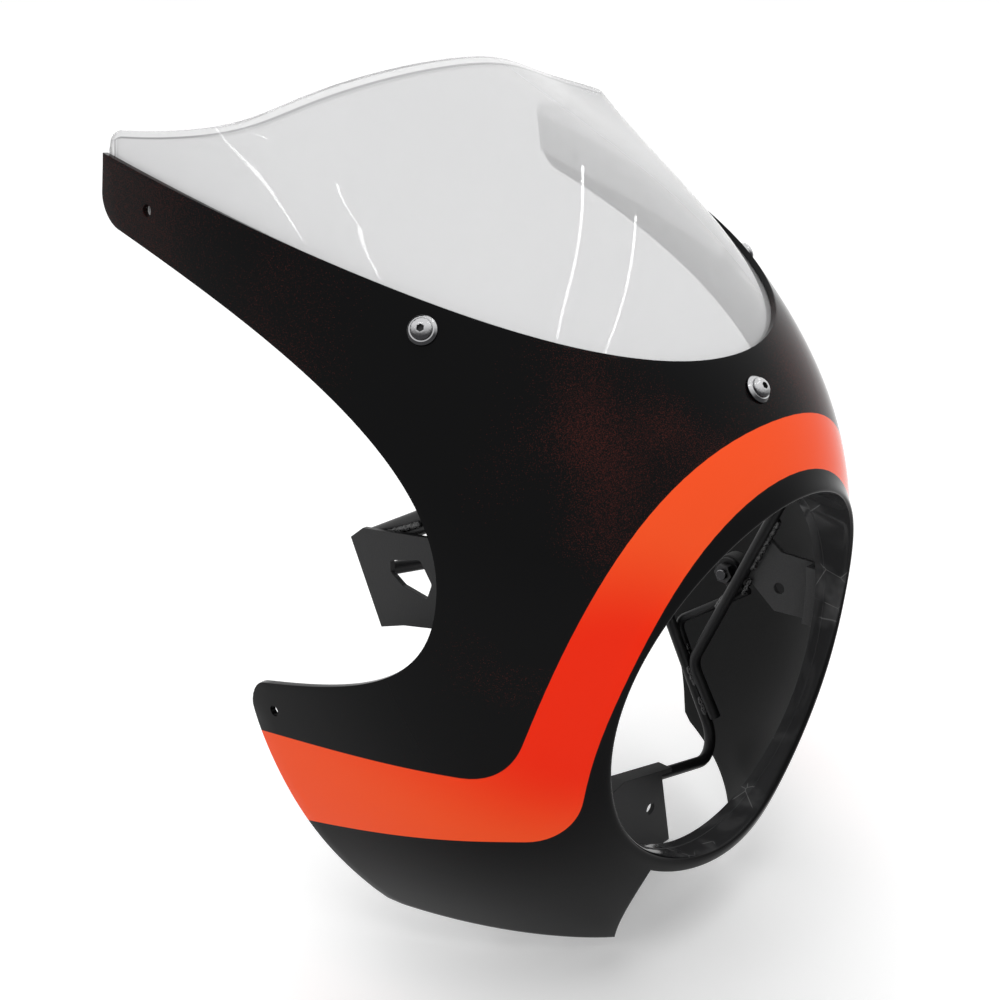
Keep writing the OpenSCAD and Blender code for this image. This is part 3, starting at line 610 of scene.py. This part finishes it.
# Painted shade for the screws' hexagon sockets, and the buffer nuts' own black colour.
SOCKET_SHADE_AND_NUT_FINISH = grained_finish("socket_shade_and_black_nut", (0.012, 0.012, 0.013), (0.05, 0.05, 0.052),
                               scale=2500.0, height=0.00001, rough=0.35, spread=0.2, Metallic=0.6)
RUBBER_FINISH = rubber_finish()


# The shell, and its stripe's two edges as curves through lengths round the skin and heights

STRIPE_OUTER = [
    [(0, 125.2), (78.1, 125.2), (117.2, 72), (136.1, 4.1)],
    [(136.1, 4.1), (138.2, -4), (143.5, -16.4), (161.8, -17.4)],
    [(161.8, -17.4), (189.8, -18.6), (234.2, -24.4), (310, -40)]]
STRIPE_INNER = [
    [(0, 103), (65.3, 103), (107.4, 37.3), (106.9, -27.2)],
    [(106.9, -27.2), (106.8, -39.7), (114.7, -49.6), (128.2, -49.9)],
    [(128.2, -49.9), (156.8, -50.5), (201.6, -64.7), (310, -98)]]


def distance_round(a, z):
    """Length along the skin from the centre line, at a height."""
    t, weight = np.polynomial.legendre.leggauss(24)
    half = np.radians(np.abs(a))[:, None] / 2
    angle = half * (t[None] + 1)
    speed = np.hypot(width(z)[:, None] * np.cos(angle), 2 * sweep(z)[:, None] * np.tan(angle))
    return (speed * weight).sum(1) * half[:, 0]


def mark_stripe(piece):
    """Stores each point's distance inside the stripe's edge, in metres, for the skin's finish."""
    at = np.empty(len(piece.data.vertices) * 3)
    piece.data.vertices.foreach_get("co", at)
    at = at.reshape(-1, 3) / MM
    place = np.stack([distance_round(angle_of(at[:, 0], at[:, 2]), at[:, 2]), at[:, 2]], -1)
    t = np.linspace(0, 1, 25)
    edges = [np.concatenate([bezier(part, t)[:-1] for part in chain] + [np.array([chain[-1][-1]], float)])
             for chain in (STRIPE_OUTER, STRIPE_INNER)]
    near = []
    for line in edges:
        start, run = line[:-1], line[1:] - line[:-1]
        offset = place[:, None] - start[None]
        along = np.clip((offset * run).sum(2) / (run * run).sum(1), 0, 1)
        near.append(np.linalg.norm(offset - along[..., None] * run, axis=2).min(1))
    ring = np.concatenate([edges[0], edges[1][::-1]])
    nxt = np.roll(ring, -1, axis=0)
    crosses = ((ring[None, :, 1] > place[:, 1:2]) != (nxt[None, :, 1] > place[:, 1:2]))
    rise = np.where(nxt[:, 1] == ring[:, 1], 1e-9, nxt[:, 1] - ring[:, 1])
    cut = ring[:, 0] + (place[:, 1:2] - ring[:, 1]) * (nxt[:, 0] - ring[:, 0]) / rise
    inside = (crosses & (place[:, 0:1] < cut)).sum(1) % 2 == 1
    signed = np.where(inside, 1, -1) * np.minimum(*near) * MM
    piece.data.attributes.new("stripe_distance", "FLOAT", "POINT").data.foreach_set("value", signed)


def build_shell():
    i = np.arange(-SIDE_N, SIDE_N + 1)
    t = np.radians(np.where(i < 0, 180 - rib_start(np.abs(i)), rib_start(np.abs(i))))
    upper = laid_grid("shell_upper", np.concatenate([lip_rows(t), rib_rows(i)]))
    under = np.radians(np.linspace(-CHIN_GAP_ANGLE, CHIN_GAP_ANGLE - 180, GAP_N + 1))
    lower = laid_grid("shell_lower", lip_rows(under))
    shell = joined([upper, lower], "shell_skin")
    painted(shell, SKIN_FINISH, INSIDE_FINISH)
    apply_modifier(shell, "SOLIDIFY", thickness=WALL * MM, offset=-1, use_even_offset=True,
                   material_offset=1, material_offset_rim=0)
    eased(shell, SHELL_EDGE, segments=4, angle=50)
    arm_y = ARM_REACH - ARM_HOLE_INSET
    for side in SIDES.values():
        for a, z in (on_skin(arm_y, cut_z(arm_y) - ARM_HOLE_DROP),
                     on_skin(WING_REACH - WING_HOLE_INSET, WING_TOP - WING_HOLE_DROP)):
            bored(shell, skin(side * a, z), skin_normal(side * a, z), TIP_HOLE)
    smooth(shell, 45)
    mark_stripe(shell)
    placed(shell, "shell_plastic", "cowl_shell")


# The clear screen

SCREEN_DEPTH = WALL + SCREEN_GAP
SCREEN_END = ARM_REACH - 2
SCREEN_TIP = float(angle_at(SCREEN_END, cut_z(SCREEN_END)))


def path_angle(a, z, h):
    upright = angle_at(skin(a, z)[..., 1], z + h)
    share = (a / SCREEN_TIP) ** 4
    return np.sign(a) * (np.abs(a) * (1 - share) + upright * share)


def screen_base(a, h):
    z = cut_at(np.abs(a))
    low = skin(path_angle(a, z, np.minimum(h, 0)), z + np.minimum(h, 0))
    rise = (skin(path_angle(a, z, 1), z + 1) - skin(path_angle(a, z, -1), z - 1)) / 2
    high = np.maximum(h, 0)
    s = np.sin(np.radians(a))
    bent = np.stack([-SCREEN_LEAN * s, SCREEN_BEND + 1.3 * SCREEN_LEAN * s ** 2, 0 * s], -1) * high[..., None] ** 2
    return low + rise * high[..., None] + bent


def screen_top(a):
    left_over = np.maximum(0, SCREEN_END - skin(a, cut_at(np.abs(a)))[..., 1])
    corner = np.maximum(0, SCREEN_CORNER_R - left_over)
    drop = SCREEN_CORNER_R - np.sqrt(np.maximum(0, SCREEN_CORNER_R ** 2 - corner ** 2))
    return SCREEN_RISE * np.cos(np.radians(a)) ** SCREEN_FALL - drop


def build_screen():
    u = np.linspace(-1, 1, SCREEN_COLUMNS)
    a = SCREEN_TIP * (1.35 * u - 0.35 * u ** 3)
    rows = [-SCREEN_TUCK * (1 - k / TUCK_ROWS) + 0 * a for k in range(TUCK_ROWS)]
    rows += [screen_top(a) * k / (SCREEN_ROWS - 1) for k in range(SCREEN_ROWS)]
    places = []
    for h in rows:
        here = screen_base(a, h)
        across = screen_base(a + 0.3, h) - screen_base(a - 0.3, h)
        upwards = screen_base(a, h + 0.5) - screen_base(a, h - 0.5)
        places.append(here - SCREEN_DEPTH * unit(np.cross(across, upwards)))
    to_edge = np.array([np.minimum(screen_top(a) - h, np.maximum(0, (SCREEN_TIP - np.abs(a)) * 4)) for h in rows])
    screen = laid_grid("clear_screen_sheet", np.array(places), "edge_distance", to_edge)
    painted(screen, SCREEN_FINISH, SHADED_EDGE_FINISH)
    apply_modifier(screen, "SOLIDIFY", thickness=SCREEN_WALL * MM, offset=-1, use_even_offset=True,
                   material_offset_rim=1)
    eased(screen, SCREEN_EDGE, segments=4, angle=50)
    arm_y = ARM_REACH - ARM_HOLE_INSET
    hole_a, hole_z = on_skin(arm_y, cut_z(arm_y) - ARM_HOLE_DROP)
    for side in SIDES.values():
        bored(screen, skin(side * hole_a, hole_z), skin_normal(side * hole_a, hole_z), TIP_HOLE)
    smooth(screen, 45)
    placed(screen, "clear_screen", "windscreen")


build_shell()
build_screen()


# The frame's rods, plates and welds

# Each weld of one side: its joint, its distance from the middle, its ends as (y, z), and its radius
WELDS = [("front_plate", PLATE_X - 1.5, (30.6, 34.5), (43.7, 5.5), 2.5),
         ("front_foot", PLATE_X - 1.5, (44.6, -4), (48.2, -12), 1.6),
         ("rear_plate", PLATE_X - 1.5, (96, 73.5), (118, 63.5), 1.7),
         ("hoop_knee", ROD_X - 1.2, (79.5, -69.3), (74.8, -77.5), 1.9),
         ("hoop_foot", ROD_X - 1.2, (70.5, -86), (66.7, -93.5), 1.9),
         ("strut", STRUT_X - 1.6, (85.5, -59), (81.3, -68), 1.6),
         ("strut_cross", ROD_X + 3.3, (62, -20), (66, -27), 1.5)]


def bent_rod(name, path, d, r=BEND_R):
    """A rod drawn out from its first end, and spun round at each inner point of its path."""
    path = [Vector(p) * MM for p in path]
    first = (path[1] - path[0]).normalized()
    bpy.ops.object.select_all(action="DESELECT")
    bpy.ops.mesh.primitive_circle_add(vertices=24, radius=d / 2 * MM, fill_type="NGON", location=path[0],
                                      rotation=first.to_track_quat("Z", "Y").to_euler())
    rod = bpy.context.object
    rod.name = name
    bpy.ops.object.transform_apply(location=True, rotation=True, scale=True)
    bpy.ops.object.mode_set(mode="EDIT")
    bpy.ops.mesh.select_all(action="SELECT")
    at = path[0]
    for here, back, ahead in zip(path[1:-1], path, path[2:]):
        before, after = (here - back).normalized(), (ahead - here).normalized()
        turn = before.angle(after)
        reach = r * MM * math.tan(turn / 2)
        inward = (after - before * before.dot(after)).normalized()
        bpy.ops.mesh.extrude_region_move(TRANSFORM_OT_translate={"value": here - before * reach - at})
        bpy.ops.mesh.spin(steps=max(3, round(turn * 8)), angle=-turn, axis=before.cross(inward),
                          center=here - before * reach + inward * r * MM)
        at = here + after * reach
    bpy.ops.mesh.extrude_region_move(TRANSFORM_OT_translate={"value": path[-1] - at})
    bpy.ops.mesh.select_all(action="SELECT")
    bpy.ops.mesh.remove_doubles(threshold=0.000001)
    bpy.ops.mesh.normals_make_consistent(inside=False)
    bpy.ops.object.mode_set(mode="OBJECT")
    painted(rod, PAINT_FINISH)
    eased(rod, 0.5, segments=3, angle=60)
    return rod


def eased_copy(node_name, width_mm, finish, slot):
    """A copy of a flat or turned solid with its corners broken, as cut and tumbled steel has them."""
    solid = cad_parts[node_name]
    piece = solid.copy()
    piece.data = solid.data.copy()
    piece.name = node_name + "_finished"
    bpy.context.collection.objects.link(piece)
    only(piece)
    bpy.ops.object.mode_set(mode="EDIT")
    bpy.ops.mesh.select_all(action="SELECT")
    bpy.ops.mesh.remove_doubles(threshold=0.00001)
    bpy.ops.mesh.dissolve_limited(angle_limit=math.radians(1))
    bpy.ops.object.mode_set(mode="OBJECT")
    painted(piece, finish)
    eased(piece, width_mm)
    apply_modifier(piece, "WEIGHTED_NORMAL", keep_sharp=True, weight=60)
    placed(piece, slot, node_name)
    return piece


def weld_bead(name, start, end, r):
    """A row of overlapping drops of weld metal, grown together."""
    start, end = Vector(start) * MM, Vector(end) * MM
    count = max(3, round((end - start).length / (r * 0.85 * MM)))
    drops = []
    for k in range(count):
        bpy.ops.object.select_all(action="DESELECT")
        swell = r * (1 + 0.14 * math.sin(2.4 * k)) * MM
        bpy.ops.mesh.primitive_uv_sphere_add(segments=14, ring_count=8, radius=swell,
                                             location=start.lerp(end, k / (count - 1)))
        drops.append(bpy.context.object)
    bead = joined(drops, name)
    bpy.ops.object.transform_apply(location=True, rotation=True, scale=True)
    painted(bead, WELD_FINISH)
    apply_modifier(bead, "REMESH", mode="VOXEL", voxel_size=0.0005)
    smooth(bead, 70)
    placed(bead, "frame_steel")


def side_way(x, points):
    """Points of a path in the side plane at a distance from the middle."""
    return [(x, y, z) for y, z in points]


def mirrored(points):
    """The same path on the left side."""
    return [(-x, y, z) for x, y, z in points]


def build_frame():
    tail, shoulder = (np.array(p, float) for p in HOOP[:2])
    way = unit(shoulder - tail) * -1
    drop = ((ROD_D + BRACE_D) / 2 + WELD_GAP) * np.array([way[1], -way[0]])
    brace = [tail + drop - way * BRACE_FOOT, shoulder + drop + way * BRACE_HEAD]
    for label, side in SIDES.items():
        hoop_rod = bent_rod("hoop_rod_" + label, side_way(side * ROD_X, HOOP), ROD_D)
        placed(hoop_rod, "frame_steel", "side_hoop_" + label)
        brace_rod = bent_rod("brace_rod_" + label, side_way(side * ROD_X, brace), BRACE_D)
        placed(brace_rod, "frame_steel", "brace_" + label)
        strut_rod = bent_rod("strut_rod_" + label, side_way(side * STRUT_X, STRUT), BRACE_D, STRUT_BEND_R)
        placed(strut_rod, "frame_steel", "strut_" + label)
        eased_copy("front_plate_" + label, 0.4, LIT_PLATE_PAINT_FINISH, "frame_steel")
        for plate in ("rear_plate_", "lug_"):
            eased_copy(plate + label, 0.4, PAINT_FINISH, "frame_steel")
        for joint, x, start, end, r in WELDS:
            weld_bead("weld_" + joint + "_" + label, (side * x, *start), (side * x, *end), r)
    rear_bar = bent_rod("rear_bar", mirrored(REAR_BAR) + REAR_BAR[::-1], ROD_D)
    placed(rear_bar, "frame_steel", "rear_crossbar")
    lower_path = mirrored(LOWER_BAR[:2]) + [LOWER_BAR[2]] + LOWER_BAR[1::-1]
    placed(bent_rod("lower_bar", lower_path, ROD_D, LOWER_BEND_R), "frame_steel", "lower_crossbar")
    eased_copy("lower_plate", 0.4, PAINT_FINISH, "frame_steel")


def paint_socket_shade(screw):
    """Paints shade into a screw's hexagon socket: its faces get a dark, dull finish."""
    screw.data.materials.append(SOCKET_SHADE_AND_NUT_FINISH)
    middle = sum((v.co for v in screw.data.vertices), Vector()) / len(screw.data.vertices) / MM
    axis = Vector(skin_normal(angle_of(middle.x, middle.z), middle.z))
    for face in screw.data.polygons:
        off = face.center / MM - middle
        if (off - axis * off.dot(axis)).length < SOCKET_R:
            face.material_index = 1


def build_fixings():
    for label in ("left", "centre", "right"):
        paint_socket_shade(eased_copy("screw_" + label, 0.15, STEEL_PAINTED_REFLECTION_FINISH, "stainless"))
        eased_copy("cup_washer_" + label, 0.15, STEEL_PAINTED_REFLECTION_FINISH, "stainless")
        eased_copy("rubber_nut_" + label, 0.4, RUBBER_FINISH, "rubber")
    for label in SIDES:
        eased_copy("buffer_bolt_" + label, 0.3, STEEL_PAINTED_REFLECTION_FINISH, "stainless")
        eased_copy("buffer_nut_" + label, 0.3, SOCKET_SHADE_AND_NUT_FINISH, "stainless")
        eased_copy("buffer_" + label, 0.8, RUBBER_FINISH, "rubber")


build_frame()
build_fixings()


# Floor, light and camera

# The floor's glow is lowest around this place, a painted shadow under the chin.
SHADOW_PLACE = (-0.1, -0.03, FLOOR_Z * MM)
PAINTED_SHADOW_GLOW, FAR_GLOW = (0.04, 0.26, 0.1, 0.38), (0.7, 2.4, 0.0, 0.05)
LAMP_AIM = (0, 0.05, 0.05)
CEILING, DOTS_PER_METRE = 1.5, 110.0
CAMERA_LENS, CAMERA_PLACE = 49.1, (-0.4927, -0.3263, 0.3040)
CAMERA_AZIMUTH, CAMERA_ELEVATION = -46.6, 20.81


def seen_directly(tree):
    """1 for what the camera, a mirror or the clear screen sees, and 0 for the light that falls on the cowl."""
    path = node(tree, "ShaderNodeLightPath")
    return maths(tree, "MAXIMUM", path.outputs["Is Camera Ray"],
                 maths(tree, "MAXIMUM", path.outputs["Is Glossy Ray"], path.outputs["Is Transmission Ray"]))


def plain_floor():
    """A white floor that keeps the cowl's shadow: its own glow is low around the shadow's place under the cowl, a
    painted shadow, and grows outwards to white.
    """
    bpy.ops.object.select_all(action="DESELECT")
    bpy.ops.mesh.primitive_plane_add(size=60, location=(0, 0, FLOOR_Z * MM))
    floor = bpy.context.object
    floor.name = "floor"
    bpy.ops.object.transform_apply(location=True, rotation=True, scale=True)
    finish, tree, shader = new_finish("pale_floor")
    place = node(tree, "ShaderNodeTexCoord").outputs["Object"]
    away = node(tree, "ShaderNodeVectorMath", operation="DISTANCE")
    give(tree, away.inputs[0], place)
    give(tree, away.inputs[1], SHADOW_PLACE)
    glow = maths(tree, "ADD", between(tree, away.outputs["Value"], *PAINTED_SHADOW_GLOW),
                 between(tree, away.outputs["Value"], *FAR_GLOW))
    feed(tree, shader, Base_Color=(0.9, 0.9, 0.9, 1), Roughness=1.0, Specular_IOR_Level=0.0,
         Emission_Color=(1, 1, 1, 1), Emission_Strength=maths(tree, "MULTIPLY", seen_directly(tree), glow))
    painted(floor, finish)


def white_world():
    """An even white studio, dimmer as light on the cowl than as the background."""
    world = bpy.data.worlds.new("white_studio")
    bpy.context.scene.world = world
    world.use_nodes = True
    tree = world.node_tree
    tree.nodes.clear()
    sky = node(tree, "ShaderNodeBackground")
    feed(tree, sky, Color=(1, 1, 1, 1), Strength=maths(tree, "MULTIPLY_ADD", seen_directly(tree), 0.3, 0.7))
    out = node(tree, "ShaderNodeOutputWorld")
    tree.links.new(sky.outputs[0], out.inputs["Surface"])


def soft_lamp(name, place, aim, size, power, mirrored_in_gloss=False):
    lamp = bpy.data.lights.new(name, "AREA")
    lamp.shape = "RECTANGLE"
    lamp.size, lamp.size_y = size
    lamp.energy = power
    piece = bpy.data.objects.new(name, lamp)
    bpy.context.collection.objects.link(piece)
    piece.location = place
    piece.rotation_euler = (Vector(aim) - Vector(place)).to_track_quat("-Z", "Y").to_euler()
    piece.visible_glossy = mirrored_in_gloss
    piece.visible_transmission = False


def strip_lamp(name, start, end, broad=0.013, glow=0.3):
    """A narrow row of small lights along the ceiling, which only the screen and the gloss mirror."""
    start, end = Vector((*start, CEILING)), Vector((*end, CEILING))
    middle = (start + end) / 2
    length = (end - start).length
    soft_lamp(name, middle, middle - Vector((0, 0, 1)), (length, broad), glow * length, True)
    piece = bpy.data.objects[name]
    piece.rotation_euler = (0, 0, math.atan2(end.y - start.y, end.x - start.x))
    piece.visible_diffuse = False
    piece.data.use_nodes = True
    tree = piece.data.node_tree
    _, along, _ = split(tree, node(tree, "ShaderNodeNewGeometry").outputs["Parametric"])
    wave = maths(tree, "SINE", maths(tree, "MULTIPLY", along, length * DOTS_PER_METRE))
    dots = maths(tree, "MULTIPLY_ADD", between(tree, wave, -0.2, 0.6), 1.9, 0.1)
    tree.links.new(dots, tree.nodes["Emission"].inputs["Strength"])


def photo_camera():
    """The camera as solved from the photo, in metres and degrees."""
    camera = bpy.data.cameras.new("photo_camera")
    camera.sensor_width = 36
    camera.lens = CAMERA_LENS
    piece = bpy.data.objects.new("photo_camera", camera)
    bpy.context.collection.objects.link(piece)
    azimuth, elevation = math.radians(CAMERA_AZIMUTH), math.radians(CAMERA_ELEVATION)
    back = Vector((math.sin(azimuth) * math.cos(elevation), -math.cos(azimuth) * math.cos(elevation),
                   math.sin(elevation)))
    piece.location = CAMERA_PLACE
    piece.rotation_euler = back.to_track_quat("Z", "Y").to_euler()
    bpy.context.scene.camera = piece


plain_floor()
white_world()
soft_lamp("key_lamp", (-0.55, -0.05, 1.7), LAMP_AIM, size=(1.3, 1.1), power=10)
soft_lamp("fill_lamp", (1.1, -1.3, 0.9), LAMP_AIM, size=(0.8, 0.8), power=3)
strip_lamp("strip_lamp_middle", (-0.05, 0.13), (-0.448, -0.036), broad=0.004, glow=0.1)
strip_lamp("strip_lamp_left_far", (-0.722, 0.072), (-2.099, 0.234))
strip_lamp("strip_lamp_left_near", (-0.448, -0.036), (-1.191, -0.188))
strip_lamp("strip_lamp_right_far", (1.551, 0.326), (0.04, -0.631))
strip_lamp("strip_lamp_right_near", (1.821, 0.151), (0.335, -0.761))
photo_camera()
bpy.context.scene.view_settings.view_transform = "Standard"
